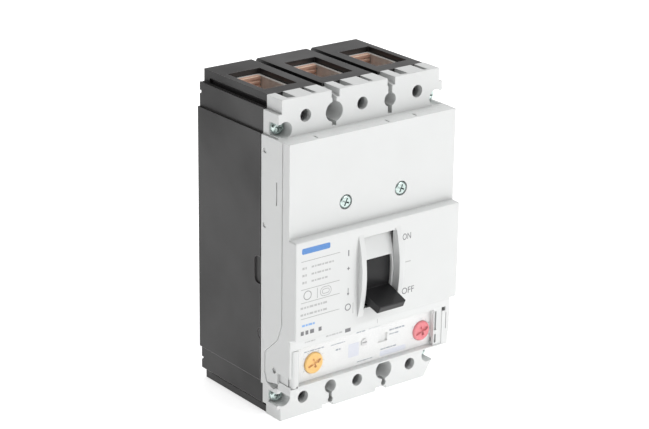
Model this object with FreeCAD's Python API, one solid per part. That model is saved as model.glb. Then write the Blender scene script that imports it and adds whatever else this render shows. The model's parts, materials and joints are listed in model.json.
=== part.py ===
import FreeCAD, Part
import math
import os

# Three-pole molded case circuit breaker, in millimetres.
# Origin: centre of the rear mounting face. +X right, +Z up (line side), the front faces -Y.
# Every depth is therefore a negative Y. The toggle is modelled in its OFF position.

os.makedirs("parts", exist_ok=True)
Vector = FreeCAD.Vector

# ---------------------------------------------------------------- driving dimensions
POLE_PITCH = 30.0
POLES = {1: -POLE_PITCH, 2: 0.0, 3: POLE_PITCH}
ENDS = {"line": 1, "load": -1}          # line terminals at the top, load terminals at the bottom
HALF_WIDTH = 45.0
HALF_HEIGHT = 72.5
WALL = 2.4

# Outline steps of the base, seen from the front
BODY_TOP = 56.2
LEDGE_TOP = 67.0
LEDGE_HALF = 43.9
END_HALF = 41.5

# Depths of the faces
SEAM = -47.9                            # base meets main cover
TERMINAL_FACE = -58.4
COVER_SPLIT = -62.4                     # main cover meets front cover
COVER_FACE = -67.2
PANEL_FACE = -72.0
TRIM_FACE = -68.0                       # flap and cheeks around the dials
SEAM_GAP = 0.2
FRONT_SCREW_R = 1.5
FRONT_SCREW_SEAT = -65.5

# Mounting holes, M4
MOUNT_X = 15.0
MOUNT_Z = 63.0
MOUNT_R = 2.25
HEAD_R = {"large": 4.5, "small": 3.1}

# Terminals: a box clamp in a moulded mouth
MOUTH_HALF = 8.5
MOUTH_REAR = -13.6
MOUTH_FRONT = -41.0
MOUTH_FLOOR = 55.2
SCREW_Z = 64.0
ACCESS_R = 2.8
POCKET_FLOOR = -51.8                    # corner pockets of the cover screws
SCREW_WAY_R = 4.3
CAGE_HALF = 8.2
CAGE_WALL = 1.2
CAGE_FRONT_WALL = 3.2
CAGE_REAR = -13.8
CAGE_FRONT = -38.6
CAGE_LOW = 56.0
CAGE_RIM = 70.0
SCREW_R = 2.95
THREAD_R = 3.0
PAD_HALF = 6.6
PAD_THICK = 2.4
PAD_FRONT = -35.1

# Copper bars
BAR_REAR = -15.0
BAR_THICK = 2.2
BAR_HALF = 6.8
BAR_FRONT = BAR_REAR - BAR_THICK

# Pole chambers
CHAMBER_HALF = 13.6
SIDE_INNER = 42.5
CHAMBER_END = 52.5
REAR_WALL = -3.0

# Toggle: pivot, skirt and lever
PIVOT_Y = -30.0
PIVOT_Z = -8.3
SKIRT_R = 40.0
SKIRT_THICK = 1.5
SKIRT_LOW = -54.0                       # angles at OFF, in degrees above the horizontal
TAIL_LOW = -63.5
SHIELD_LOW = 9.1
SHIELD_HIGH = 31.0
SHIELD_WEB = 0.8
YOKE_ANGLE = -17.0
SHIELD_R = 41.4
SHIELD_THICK = 1.2
SHIELD_HALF = 7.6
SLOT_HALF = 9.0
SLOT_TOP = 9.3
SLOT_LOW = -23.2
SHELF_Z = 14.5                          # step from the upper face to the toggle panel
BEZEL_MIDDLE = -8.1                     # walls beside the slot
BEZEL_CHORD = 18.6
BEZEL_RISE = 2.9
BEZEL_HALF = 11.5

# Contact shaft and arms
SHAFT_Y = -22.0
SHAFT_Z = -12.0
SHAFT_R = 6.0
SHAFT_HALF = 42.2
ARM_HALF = 3.0
ARM_LENGTH = 31.8
ARM_CLOSED = -19.3                      # rotation about +X with the contacts closed
ARM_SWING = 28.0                        # degrees from closed to open
ARM_OPEN = ARM_CLOSED + ARM_SWING

# Toggle linkage of the centre pole: cradle pivot A, knee K, crank pin C
LINK_A = (-46.0, -7.0)
CRANK_R = 10.2
LINK_PIN_R = 1.0
KNEE_PIN_R = 1.0
LINK_UPPER = 14.2
LINK_LOWER = 15.2
KNEE_PLAY = 0.5                         # extra radius of the open pivot's hole
KNEE_OPEN_SIDE = -1                     # the knee hangs below the line from A to C
CRADLE_PIVOT = (-34.0, 10.0)
SPRING_COIL_R = 1.15                    # main springs
SPRING_WIRE_R = 0.3
SPRING_TURNS = 11
SPRING_END_GAP = 1.3
WIRE_SIDES = 8                          # the spring wire is modelled eight-sided

# Trip unit behind the flap
TRIM_TOP = -36.2
TRIM_LOW = -53.0
RUNNING_FIT = 0.06                      # radial clearance of the trip bar and the button
CHEEK_LOW = -57.0                       # Z where the front cover's sides end
TRIM_LIP = -53.9
KNUCKLE_LOW = -53.6
FACEPLATE = -65.4
DIAL_X = 30.0
DIAL_Z = -45.3
DIAL_FACE = -66.3
BUTTON_X = -2.3
BUTTON_Z = -42.7
BUTTON_R = 1.6
BUTTON_SPRING_TOP = -56.9
BUTTON_SPRING_LENGTH = 4.4
BUTTON_SPRING_PITCH = 1.1
BUTTON_SPRING_R = 1.5
BUTTON_SPRING_WIRE_R = 0.25
TRIP_Y = -51.0
TRIP_Z = -47.7
TRIP_R = 1.8
TRIP_PADDLE_FRONT = TRIP_Y - 1.2
TRIP_PADDLE_TOP = -41.7

# Flap hinge, a vertical axis at the left edge
FLAP_AXIS_X = -41.6
FLAP_AXIS_Y = -66.35
FLAP_KNUCKLE_R = 1.65
FLAP_PIN_R = 0.8


# ---------------------------------------------------------------- shape helpers
def block(x, y, z):
    """Box between pairs of coordinates, given in either order."""
    low = [min(pair) for pair in (x, y, z)]
    size = [abs(pair[1] - pair[0]) for pair in (x, y, z)]
    return Part.makeBox(size[0], size[1], size[2], Vector(*low))


def rod_x(y, z, radius, x):
    return Part.makeCylinder(radius, abs(x[1] - x[0]), Vector(min(x), y, z), Vector(1, 0, 0))


def rod_y(x, z, radius, y):
    return Part.makeCylinder(radius, abs(y[1] - y[0]), Vector(x, min(y), z), Vector(0, 1, 0))


def rod_z(x, y, radius, z):
    return Part.makeCylinder(radius, abs(z[1] - z[0]), Vector(x, y, min(z)), Vector(0, 0, 1))


def prism(corners, along):
    """Solid from a closed polygon of 3-D corners, extruded along a vector."""
    loop = Part.makePolygon(corners + [corners[0]])
    return Part.Face(loop).extrude(along)


def plate_yz(points, x):
    corners = [Vector(min(x), y, z) for y, z in points]
    return prism(corners, Vector(abs(x[1] - x[0]), 0, 0))


def plate_xz(points, y):
    corners = [Vector(x, min(y), z) for x, z in points]
    return prism(corners, Vector(0, abs(y[1] - y[0]), 0))


def fuse(shapes):
    result = shapes[0]
    if len(shapes) > 1:
        result = result.fuse(shapes[1:])
    return result.removeSplitter()


def cut(shape, tools):
    return shape.cut(tools)


def mirrored_x(shape):
    return shape.mirror(Vector(0, 0, 0), Vector(1, 0, 0))


def mirrored_z(shape):
    return shape.mirror(Vector(0, 0, 0), Vector(0, 0, 1))


def both_sides(shape):
    return [shape, mirrored_x(shape)]


def four_corners(shape):
    return both_sides(shape) + both_sides(mirrored_z(shape))


def turned_x(shape, y, z, degrees):
    """A copy turned about an axis along X."""
    copy = shape.copy()
    copy.rotate(Vector(0, y, z), Vector(1, 0, 0), degrees)
    return copy


def turned_y(shape, x, z, degrees):
    copy = shape.copy()
    copy.rotate(Vector(x, 0, z), Vector(0, 1, 0), degrees)
    return copy


def edges_on(shape, test):
    """Edges whose two ends and middle all pass the test."""
    found = []
    for edge in shape.Edges:
        middle = edge.valueAt((edge.FirstParameter + edge.LastParameter) / 2)
        if all(test(vertex.Point) for vertex in edge.Vertexes) and test(middle):
            found.append(edge)
    return found


def chamfered(shape, size, test):
    return shape.makeChamfer(size, edges_on(shape, test))


def rounded(shape, radius, test):
    return shape.makeFillet(radius, edges_on(shape, test))


def ring_sector(outer, inner, half_width, start, end):
    """Arc-shaped shell about the toggle pivot. Angles are above the horizontal, towards the front."""
    shell = rod_x(PIVOT_Y, PIVOT_Z, outer, (-half_width, half_width))
    shell = shell.cut(rod_x(PIVOT_Y, PIVOT_Z, inner, (-half_width - 1, half_width + 1)))
    reach = 2 * outer
    middle = math.radians((start + end) / 2)
    low, high = math.radians(start), math.radians(end)
    wedge = [(PIVOT_Y, PIVOT_Z)]
    for angle in (low, middle, high):
        wedge.append((PIVOT_Y - reach * math.cos(angle), PIVOT_Z + reach * math.sin(angle)))
    return shell.common(plate_yz(wedge, (-half_width, half_width)))


def on_pivot(radius, degrees):
    """Point (y, z) at a radius from the toggle pivot, at an angle above the horizontal."""
    angle = math.radians(degrees)
    return (PIVOT_Y - radius * math.cos(angle), PIVOT_Z + radius * math.sin(angle))


def link_plate(start, end, width, x, start_hole, end_hole):
    """Flat link with round ends between two points (y, z), with a hole at each."""
    length = math.hypot(end[0] - start[0], end[1] - start[1])
    side = ((end[1] - start[1]) / length * width / 2, -(end[0] - start[0]) / length * width / 2)
    outline = [(start[0] + side[0], start[1] + side[1]), (end[0] + side[0], end[1] + side[1]),
               (end[0] - side[0], end[1] - side[1]), (start[0] - side[0], start[1] - side[1])]
    body = fuse([plate_yz(outline, x), rod_x(start[0], start[1], width / 2, x),
                 rod_x(end[0], end[1], width / 2, x)])
    through = (min(x) - 1, max(x) + 1)
    return cut(body, [rod_x(start[0], start[1], start_hole, through),
                      rod_x(end[0], end[1], end_hole, through)])


def cross_recess(x, z, face, radius, depth, turn=0.0):
    """Tool for a cross recess in a screw head that faces -Y."""
    arm = radius * 0.34
    bars = [block((x - radius, x + radius), (face, face + depth), (z - arm / 2, z + arm / 2)),
            block((x - arm / 2, x + arm / 2), (face, face + depth), (z - radius, z + radius))]
    return turned_y(fuse(bars), x, z, turn)


def pan_screw(x, z, face, head_r, head_height, shank_r, shank_end, turn=20.0):
    """Pan-head screw that faces -Y, its shank running rearwards."""
    head = rod_y(x, z, head_r, (face, face + head_height))
    head = rounded(head, head_height * 0.45, lambda p: abs(p.y - face) < 0.01)
    shank = rod_y(x, z, shank_r, (face + head_height, shank_end))
    screw = fuse([head, shank])
    return cut(screw, [cross_recess(x, z, face - 0.1, head_r * 0.62, head_height * 0.6, turn)])


# ---------------------------------------------------------------- housing
def base_housing():
    """Black moulded base: three pole chambers and six terminal mouths."""
    depth = (SEAM, 0)
    shell = fuse([block((-HALF_WIDTH, HALF_WIDTH), depth, (-BODY_TOP, BODY_TOP)),
                  block((-LEDGE_HALF, LEDGE_HALF), depth, (-LEDGE_TOP, LEDGE_TOP)),
                  block((-END_HALF, END_HALF), depth, (-HALF_HEIGHT, HALF_HEIGHT))])
    shell = chamfered(shell, 1.0, lambda p: abs(p.y) < 0.01)
    tools = chamber_tools() + barrier_tools() + side_relief_tools() + mounting_tools()
    for pole_x in POLES.values():
        for end in ENDS.values():
            tools += mouth_tools(pole_x, end)
    return cut(shell, tools)


def chamber_tools():
    """Space inside each pole, and the bearing slots of the contact shaft in the partitions."""
    tools = []
    for pole_x in POLES.values():
        low = max(pole_x - CHAMBER_HALF, -SIDE_INNER)
        high = min(pole_x + CHAMBER_HALF, SIDE_INNER)
        tools.append(block((low, high), (SEAM - 1, REAR_WALL), (-CHAMBER_END, CHAMBER_END)))
    bearing_r = SHAFT_R + 0.08
    for x in (-MOUNT_X, MOUNT_X):
        span = (x - 2, x + 2)
        tools.append(rod_x(SHAFT_Y, SHAFT_Z, bearing_r, span))
        tools.append(block(span, (SEAM - 1, SHAFT_Y), (SHAFT_Z - bearing_r, SHAFT_Z + bearing_r)))
    return tools


def mouth_tools(pole_x, end):
    """Terminal mouth, the way in for its screw and the slot for its copper bar."""
    fit = 0.2
    mouth = block((pole_x - MOUTH_HALF, pole_x + MOUTH_HALF), (MOUTH_FRONT, MOUTH_REAR),
                  (end * MOUTH_FLOOR, end * (HALF_HEIGHT + 1)))
    screw_way = rod_y(pole_x, end * SCREW_Z, SCREW_WAY_R, (SEAM - 1, MOUTH_FRONT + 1))
    bar_slot = block((pole_x - BAR_HALF - fit, pole_x + BAR_HALF + fit), (BAR_FRONT - fit, BAR_REAR + fit),
                     (end * (CHAMBER_END - 1), end * (MOUTH_FLOOR + 1)))
    return [mouth, screw_way, bar_slot]


def barrier_tools():
    """Slots between neighbouring terminals that take phase barriers."""
    half = 1.6
    floor = LEDGE_TOP - 0.2
    tools = []
    for x in (-MOUNT_X, MOUNT_X):
        for end in ENDS.values():
            tools.append(block((x - half, x + half), (SEAM - 1, 1), (end * floor, end * (HALF_HEIGHT + 1))))
    return tools


def side_relief_tools():
    """Channels, rails, grip recesses and small notches on both side walls."""
    channel = block((END_HALF - 1.2, END_HALF + 1), (SEAM - 1, -5), (LEDGE_TOP, LEDGE_TOP + 2.2))
    rail = block((42.3, 43.0), (SEAM - 1, 1), (LEDGE_TOP - 0.6, LEDGE_TOP + 1))
    rear_notch = block((LEDGE_HALF - 1.6, LEDGE_HALF + 1), (-2.2, 1), (61.6, 63.4))
    tools = []
    for shape in (channel, rail, rear_notch):
        tools += four_corners(shape)
    grip_r = 2.3
    grip_y = SEAM + 2.6
    grip_x = (HALF_WIDTH - 0.7, HALF_WIDTH + 1)
    grip = fuse([rod_x(grip_y, -9.1, grip_r, grip_x), rod_x(grip_y, -1.4, grip_r, grip_x),
                 block(grip_x, (SEAM - 1, grip_y + grip_r), (-9.1, -1.4)),
                 block(grip_x, (SEAM - 1, grip_y), (-9.1 - grip_r, -1.4 + grip_r))])
    shadow_gap = block((HALF_WIDTH - 0.5, HALF_WIDTH + 1), (SEAM - 1, SEAM + 0.7), (-BODY_TOP, BODY_TOP))
    mark_x = (HALF_WIDTH - 0.35, HALF_WIDTH + 1)
    mark = rod_x(SEAM, -34.0, 2.6, mark_x).cut(rod_x(SEAM, -34.0, 2.1, mark_x))
    tools += both_sides(grip) + both_sides(mark) + both_sides(shadow_gap)
    clip_pocket = block((-17.5, 17.5), (-1.4, 1), (19.5, 27.5))
    return tools + [clip_pocket, mirrored_z(clip_pocket)]


def mounting_tools():
    """Four M4 holes with wider ways for the screw heads, and pilot holes for the cover screws."""
    tools = []
    for x, z, size in mounting_places():
        tools.append(rod_y(x, z, MOUNT_R, (SEAM - 1, 1)))
        tools.append(rod_y(x, z, HEAD_R[size], (SEAM - 1, -14.0)))
    for x, z in cover_screw_places():
        tools.append(rod_y(x, z, 1.3, (SEAM - 1, -34.0)))
    return tools


def mounting_places():
    """Diagonal pairs: one pair takes wide screw heads, the other narrow ones."""
    return [(-MOUNT_X, MOUNT_Z, "large"), (MOUNT_X, MOUNT_Z, "small"),
            (-MOUNT_X, -MOUNT_Z, "small"), (MOUNT_X, -MOUNT_Z, "large")]


def cover_screw_places():
    return [(side * 40.6, z) for side in (-1, 1) for z in (59.4, -62.0)]


def cheek_outline(offset):
    """Rear outline of the front cover's sides, from the top down, moved forward by an offset."""
    corners = ((COVER_SPLIT, BODY_TOP - 0.2), (COVER_SPLIT, -25.5), (-59.5, -33.2), (-50.4, -41.4),
               (-50.2, -51.0), (-52.0, -55.2), (-57.1, CHEEK_LOW))
    return [(y - offset, z) for y, z in corners]


def main_cover():
    """Light grey cover: front wall of the pole chambers and the two rows of terminal faces."""
    profile = [(SEAM, BODY_TOP - 0.2)] + cheek_outline(0) + [(SEAM, CHEEK_LOW)]
    middle = plate_yz(profile, (-HALF_WIDTH, HALF_WIDTH))
    depth = (TERMINAL_FACE, SEAM)
    upper = fuse([block((-44.0, 44.0), depth, (BODY_TOP - 0.4, 66.5)),
                  block((-42.2, 42.2), depth, (66.0, HALF_HEIGHT))])
    lower = plate_xz([(-44.0, -56.6), (-44.0, -66.5), (-42.2, -66.5), (-42.2, -HALF_HEIGHT),
                      (38.6, -HALF_HEIGHT), (43.5, -64.4), (44.0, -64.0), (44.0, -56.6)], depth)
    shell = fuse([middle, upper, lower])
    hollow = plate_yz([(SEAM + 1, BODY_TOP - WALL), (COVER_SPLIT + WALL, BODY_TOP - WALL),
                       (COVER_SPLIT + WALL, -26.2), (-57.4, -32.4), (-49.6, -39.6), (SEAM + 1, -40.0)],
                      (-SIDE_INNER, SIDE_INNER))
    ribs = [block((x - 1.1, x + 1.1), (SEAM, COVER_SPLIT + 0.5), (-24.0, BODY_TOP - WALL))
            for x in (-MOUNT_X, MOUNT_X)]
    shell = fuse([cut(shell, [hollow])] + ribs)
    window = block((-37.2, 35.8), (-70, SEAM + 1), (-54.6, -35.8))
    toggle_way = block((-9.3, 9.3), (-70, SEAM), (-37.5, 22.5))
    pilots = [rod_y(x, z, FRONT_SCREW_R, (-70, -55.0)) for x, z in front_screw_places()]
    tools = [window, toggle_way] + pilots
    tools += screw_access_tools() + corner_pocket_tools() + rim_tools() + cover_mark_tools()
    shell = cut(shell, tools)
    return fuse([shell] + toggle_collar())


def toggle_collar():
    """Two guide walls beside the toggle's skirt, their front edges following its arc."""
    depth = (COVER_SPLIT + 0.8, PANEL_FACE)
    height = (-25.4, 9.0)
    foot = block((8.8, 10.7), depth, height).common(rod_x(PIVOT_Y, PIVOT_Z, SKIRT_R - 0.3, (8, 12)))
    guide = block((SHIELD_HALF + 0.2, 8.85), depth, height)
    guide = guide.common(rod_x(PIVOT_Y, PIVOT_Z, SKIRT_R + 1.0, (7, 12)))
    guide = guide.cut(rod_x(PIVOT_Y, PIVOT_Z, SKIRT_R - 2.5, (7, 12)))
    return both_sides(fuse([foot, guide]))


def screw_access_tools():
    """Driver holes over the clamp screws and over the mounting holes, with their slots."""
    tools = []
    for pole_x in POLES.values():
        for end in ENDS.values():
            tools.append(rod_y(pole_x, end * SCREW_Z, ACCESS_R, (-60, SEAM + 1)))
            tools.append(rod_y(pole_x, end * SCREW_Z, SCREW_WAY_R, (TERMINAL_FACE + 2.5, SEAM + 1)))
    for x, z, size in mounting_places():
        end = 1 if z > 0 else -1
        tools.append(rod_y(x, z, HEAD_R[size], (-60, SEAM + 1)))
        if end > 0:
            notch = [(-60, 68.8), (SEAM + 1, 71.2), (SEAM + 1, HALF_HEIGHT + 1), (-60, HALF_HEIGHT + 1)]
            tools.append(plate_yz(notch, (x - 1.6, x + 2.6)))
            tools.append(block((x - 1.1, x + 1.1), (-60, SEAM + 1), (BODY_TOP + 0.6, 70)))
        else:
            tools.append(rod_y(x, -69.3, 1.35, (-60, -54)))
            tools.append(block((x - 0.85, x + 0.85), (-60, -54), (-69.3, -62)))
    return tools


def corner_pocket_tools():
    """Pockets open to the sides that hold the cover screws."""
    tools = []
    for x, z in cover_screw_places():
        side = 1 if x > 0 else -1
        tools.append(rod_y(x, z, 3.6, (-60, POCKET_FLOOR)))
        tools.append(block((x, side * 46), (-60, POCKET_FLOOR), (z - 2.9, z + 2.9)))
        tools.append(rod_y(x, z, 1.6, (-60, SEAM + 1)))
    return tools


def rim_tools():
    """Sloped chutes and notches in the rim beside each terminal mouth."""
    tools = []
    drop = 3.2
    for pole_x in POLES.values():
        for low, high in ((-8.0, -4.2), (4.6, 6.7)):
            slope = [(SEAM + 1, HALF_HEIGHT - drop), (SEAM + 1, HALF_HEIGHT + 1),
                     (-57.0, HALF_HEIGHT + 1), (-57.0, HALF_HEIGHT)]
            chute = plate_yz(slope, (pole_x + low, pole_x + high))
            tools += [chute, mirrored_z(chute)]
    for x in (-MOUNT_X, MOUNT_X):
        tools.append(block((x - 4.4, x + 1.6), (-60, SEAM + 1), (-HALF_HEIGHT - 1, -HALF_HEIGHT + 1.6)))
    return tools


def cover_mark_tools():
    """Ejector dents on the side walls."""
    tools = []
    for y, z in ((-50.4, 49.5), (-50.2, 16.4)):
        tools += both_sides(rod_x(y, z, 1.2, (HALF_WIDTH - 0.4, HALF_WIDTH + 1)))
    slit = block((HALF_WIDTH - 0.5, HALF_WIDTH + 1), (-59.1, -58.4), (27.4, 37.7))
    return tools + both_sides(slit)


def front_cover():
    """Removable light grey front: upper face, raised toggle panel and cheeks around the dials."""
    half = 44.7
    outline = [(COVER_FACE, BODY_TOP - 0.2), (COVER_FACE, SHELF_Z), (PANEL_FACE, SHELF_Z - 0.2),
               (PANEL_FACE, -29.8), (TRIM_FACE, -31.4), (TRIM_FACE, TRIM_LIP), (-58.2, TRIM_LIP)]
    shell = plate_yz(outline + list(reversed(cheek_outline(SEAM_GAP)[:-1])), (-half, half))
    shell = rounded(shell, 0.7, front_rim)
    shell = rounded(shell, 0.5, lambda p: abs(p.y - PANEL_FACE) < 0.01 and p.z > SHELF_Z - 0.3)
    hollow_upper = block((-42.4, 42.4), (COVER_FACE + 2.2, -50), (18.4, BODY_TOP - WALL))
    hollow_panel = block((-42.4, 42.4), (PANEL_FACE + 2.2, -50), (-29.0, 12.6))
    hollow_neck = block((-42.4, 42.4), (COVER_FACE + 2.2, -50), (-32.4, 20.0))
    window = block((-40.1, 40.0), (-75, -45), (-53.2, TRIM_TOP + 0.5))
    shell = cut(shell, [hollow_upper, hollow_panel, hollow_neck, window])
    bosses = [rod_y(x, z, 4.6, (COVER_FACE + 2.0, COVER_SPLIT - SEAM_GAP)) for x, z in front_screw_places()]
    shell = fuse([shell] + bezel_walls() + bosses)
    slot = block((-SLOT_HALF, SLOT_HALF), (-80, -50), (SLOT_LOW, SLOT_TOP))
    knuckle_z = (KNUCKLE_LOW - 0.2, TRIM_TOP + 0.1)
    pin_way = rod_z(FLAP_AXIS_X, FLAP_AXIS_Y, FLAP_KNUCKLE_R + 0.3, knuckle_z)
    knuckle_mouth = block((FLAP_AXIS_X - 1.95, -40), (-75, FLAP_AXIS_Y), knuckle_z)
    shield_way = rod_x(PIVOT_Y, PIVOT_Z, SHIELD_R + 0.5, (-SLOT_HALF, SLOT_HALF))
    tools = [slot, shield_way] + cheek_relief_tools() + front_screw_tools() + shelf_slits()
    hinge_foot = block((-43.8, -40.6), (TRIM_FACE + 0.4, TERMINAL_FACE - 0.2), (-57.0, TRIM_LIP + 1.0))
    shell = cut(fuse([cut(shell, tools), hinge_foot]), [pin_way, knuckle_mouth])
    return fuse([shell] + flap_pins())


def front_rim(point):
    """Long edges of the front cover where its face turns into its sides."""
    at_side = abs(abs(point.x) - 44.7) < 0.01
    return at_side and point.y < -64.0 and point.z < BODY_TOP - 1


def bezel_walls():
    """Walls beside the toggle slot that bulge beyond the panel in a shallow arc."""
    arc_r = (BEZEL_CHORD ** 2 + BEZEL_RISE ** 2) / (2 * BEZEL_RISE)
    centre_y = PANEL_FACE - BEZEL_RISE + arc_r
    wall = rod_x(centre_y, BEZEL_MIDDLE, arc_r, (SLOT_HALF - 0.5, BEZEL_HALF))
    height = (BEZEL_MIDDLE - BEZEL_CHORD, BEZEL_MIDDLE + BEZEL_CHORD)
    wall = wall.common(block((0, 20), (-78, PANEL_FACE + 1.5), height))
    return both_sides(wall)


def cheek_relief_tools():
    """Stepped lower corners of the cheeks, a finger dent, and the gap and the slit by the catch."""
    corner = block((43.5, 46), (-70, -59.5), (-60, -48.5))
    dent = rod_x(-57.1, -48.2, 1.3, (43.9, 46))
    catch_gap = block((40.0, 41.9), (-70, -62), (-37.6, TRIM_TOP + 0.5))
    slit = block((42.15, 42.45), (-70, TRIM_FACE + 1.5), (-46.5, -38.5))
    return both_sides(corner) + both_sides(dent) + [catch_gap, slit]


def front_screw_places():
    return [(-15.0, 25.4), (15.0, 25.4)]


def front_screw_tools():
    tools = []
    for x, z in front_screw_places():
        tools.append(rod_y(x, z, 1.7, (-70, -60)))
        tools.append(rod_y(x, z, 3.35, (-70, FRONT_SCREW_SEAT)))
    return tools


def shelf_slits():
    """Thin slits in the top shelf, between the terminal row and the upper face."""
    return [block((x - 0.4, x + 0.4), (-65.5, -60.0), (BODY_TOP - 1.0, BODY_TOP + 1))
            for x in (-29.0, 9.0, 24.0)]


def flap_pins():
    """Short pins at the top and the bottom of the flap's knuckle."""
    top = rod_z(FLAP_AXIS_X, FLAP_AXIS_Y, FLAP_PIN_R, (TRIM_TOP - 2.0, TRIM_TOP + 0.8))
    bottom = rod_z(FLAP_AXIS_X, FLAP_AXIS_Y, FLAP_PIN_R, (KNUCKLE_LOW - 0.6, KNUCKLE_LOW + 2.0))
    return [top, bottom]


def setting_flap():
    """Clear flap over the dials, with the knuckle that it turns on."""
    top = TRIM_TOP - 0.2
    sheet = block((FLAP_AXIS_X, 35.2), (TRIM_FACE, TRIM_FACE + 1.1), (TRIM_TOP - 0.2, -52.8))
    knuckle = rod_z(FLAP_AXIS_X, FLAP_AXIS_Y, FLAP_KNUCKLE_R, (top, KNUCKLE_LOW))
    lip = block((34.0, 35.2), (TRIM_FACE, TRIM_FACE + 2.4), (-51.8, -49.6))
    flap = fuse([sheet, knuckle, lip])
    bore_r = FLAP_PIN_R + 0.06
    return cut(flap, [rod_z(FLAP_AXIS_X, FLAP_AXIS_Y, bore_r, (top + 1, top - 2.2)),
                      rod_z(FLAP_AXIS_X, FLAP_AXIS_Y, bore_r, (KNUCKLE_LOW - 1, KNUCKLE_LOW + 2.4))])


def flap_catch():
    """Ribbed post at the right that the flap latches to."""
    face = TRIM_FACE + 0.3
    post = block((35.4, 39.95), (face, -62.2), (TRIM_TOP + 0.4, -53.1))
    grooves = [block((35.9, 37.0), (-70, face + 0.8), z) for z in ((-37.0, -46.0), (-48.0, -52.0))]
    catch = block((35.0, 37.4), (-66.2, -65.0), (-51.9, -49.5))
    return cut(post, grooves + [catch])


def front_cover_screws():
    return [pan_screw(x, z, FRONT_SCREW_SEAT - 1.8, 2.9, 1.8, FRONT_SCREW_R, -55.5, 25.0)
            for x, z in front_screw_places()]


def main_cover_screws():
    return [pan_screw(x, z, POCKET_FLOOR - 2.2, 2.9, 2.2, 1.25, -36.0, 15.0)
            for x, z in cover_screw_places()]


# ---------------------------------------------------------------- terminals
def clamp_cage(pole_x, end):
    """Folded steel box, open at both ends, with a thick threaded front wall."""
    z = (end * CAGE_LOW, end * CAGE_RIM)
    outer = block((pole_x - CAGE_HALF, pole_x + CAGE_HALF), (CAGE_FRONT, CAGE_REAR), z)
    outer = rounded(outer, 0.9, lambda p: is_cage_corner(p, pole_x))
    inner = CAGE_HALF - CAGE_WALL
    hollow = block((pole_x - inner, pole_x + inner), (CAGE_FRONT + CAGE_FRONT_WALL, CAGE_REAR - CAGE_WALL),
                   (end * (CAGE_LOW - 1), end * (CAGE_RIM + 1)))
    thread = rod_y(pole_x, end * SCREW_Z, THREAD_R, (CAGE_FRONT - 1, CAGE_FRONT + CAGE_FRONT_WALL + 1))
    return cut(outer, [hollow, thread])


def is_cage_corner(point, pole_x):
    """True on the cage's four upright corner edges."""
    at_side = abs(abs(point.x - pole_x) - CAGE_HALF) < 0.01
    at_face = abs(point.y - CAGE_FRONT) < 0.01 or abs(point.y - CAGE_REAR) < 0.01
    return at_side and at_face


def pressure_pad(pole_x, end):
    """Plate that the clamp screw pushes rearwards onto the cable, with shallow grip grooves."""
    z = (end * 57.4, end * 69.2)
    pad = block((pole_x - PAD_HALF, pole_x + PAD_HALF), (PAD_FRONT, PAD_FRONT + PAD_THICK), z)
    rear = PAD_FRONT + PAD_THICK
    grooves = [block((pole_x - PAD_HALF - 1, pole_x + PAD_HALF + 1), (rear - 0.4, rear + 1),
                     (end * level, end * (level + 0.8))) for level in (59.6, 62.2, 64.8, 67.4)]
    socket = rod_y(pole_x, end * SCREW_Z, 2.05, (PAD_FRONT - 1, PAD_FRONT + 1.2))
    return cut(pad, grooves + [socket])


def clamp_screw(pole_x, end):
    """M6 clamp screw with a hexagon socket, its tip held in the pad's socket."""
    z = end * SCREW_Z
    head = rod_y(pole_x, z, 3.9, (-53.0, -49.0))
    head = chamfered(head, 0.5, lambda p: abs(p.y + 53.0) < 0.01)
    shank = rod_y(pole_x, z, SCREW_R, (-49.0, PAD_FRONT - 0.15))
    tip = rod_y(pole_x, z, 1.98, (PAD_FRONT - 0.15, PAD_FRONT + 1.1))
    socket_points = []
    for corner in range(6):
        angle = math.radians(60 * corner)
        socket_points.append((pole_x + 2.3 * math.cos(angle), z + 2.3 * math.sin(angle)))
    socket = plate_xz(socket_points, (-54, -50.4))
    grooves = [ring_groove(pole_x, z, y) for y in (-47.5, -45.0, -42.5)]
    return cut(fuse([head, shank, tip]), [socket] + grooves)


def ring_groove(x, z, y):
    """Tool for one thread groove around a clamp screw."""
    outer = rod_y(x, z, SCREW_R + 1, (y - 0.4, y + 0.4))
    return outer.cut(rod_y(x, z, SCREW_R - 0.35, (y - 1, y + 1)))


def serration_tools(pole_x, end):
    """Horizontal grip grooves in the copper bar where the cable is clamped."""
    grooves = []
    for step in range(6):
        low = 57.6 + step * 2.0
        grooves.append(plate_yz([(BAR_FRONT - 0.1, end * low), (BAR_FRONT + 0.55, end * (low + 0.5)),
                                 (BAR_FRONT - 0.1, end * (low + 1.1))], (pole_x - 8, pole_x + 8)))
    return grooves


# ---------------------------------------------------------------- current path
def line_conductor(pole_x):
    """Copper bar from the line terminal to the fixed contact."""
    x = (pole_x - BAR_HALF, pole_x + BAR_HALF)
    profile = [(BAR_REAR, CAGE_RIM), (BAR_FRONT, CAGE_RIM), (BAR_FRONT, 49.8), (-5.6, 49.8), (-5.6, 10.0),
               (-3.4, 10.0), (-3.4, 52.0), (BAR_REAR, 52.0)]
    bar = cut(plate_yz(profile, x), serration_tools(pole_x, 1))
    contact = arm_piece((pole_x - ARM_HALF, pole_x + ARM_HALF), (4.4, 10.0), (26.5, 31.0), ARM_CLOSED)
    contact = contact.common(block(x, (-20, -4.6), (0, 40)))
    return fuse([bar, contact])


def arm_piece(x, across, along, turn):
    """Box in the arm's own frame: along the arm and across it, turned about the shaft."""
    shape = block(x, (SHAFT_Y + across[0], SHAFT_Y + across[1]), (SHAFT_Z + along[0], SHAFT_Z + along[1]))
    return turned_x(shape, SHAFT_Y, SHAFT_Z, turn)


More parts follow.
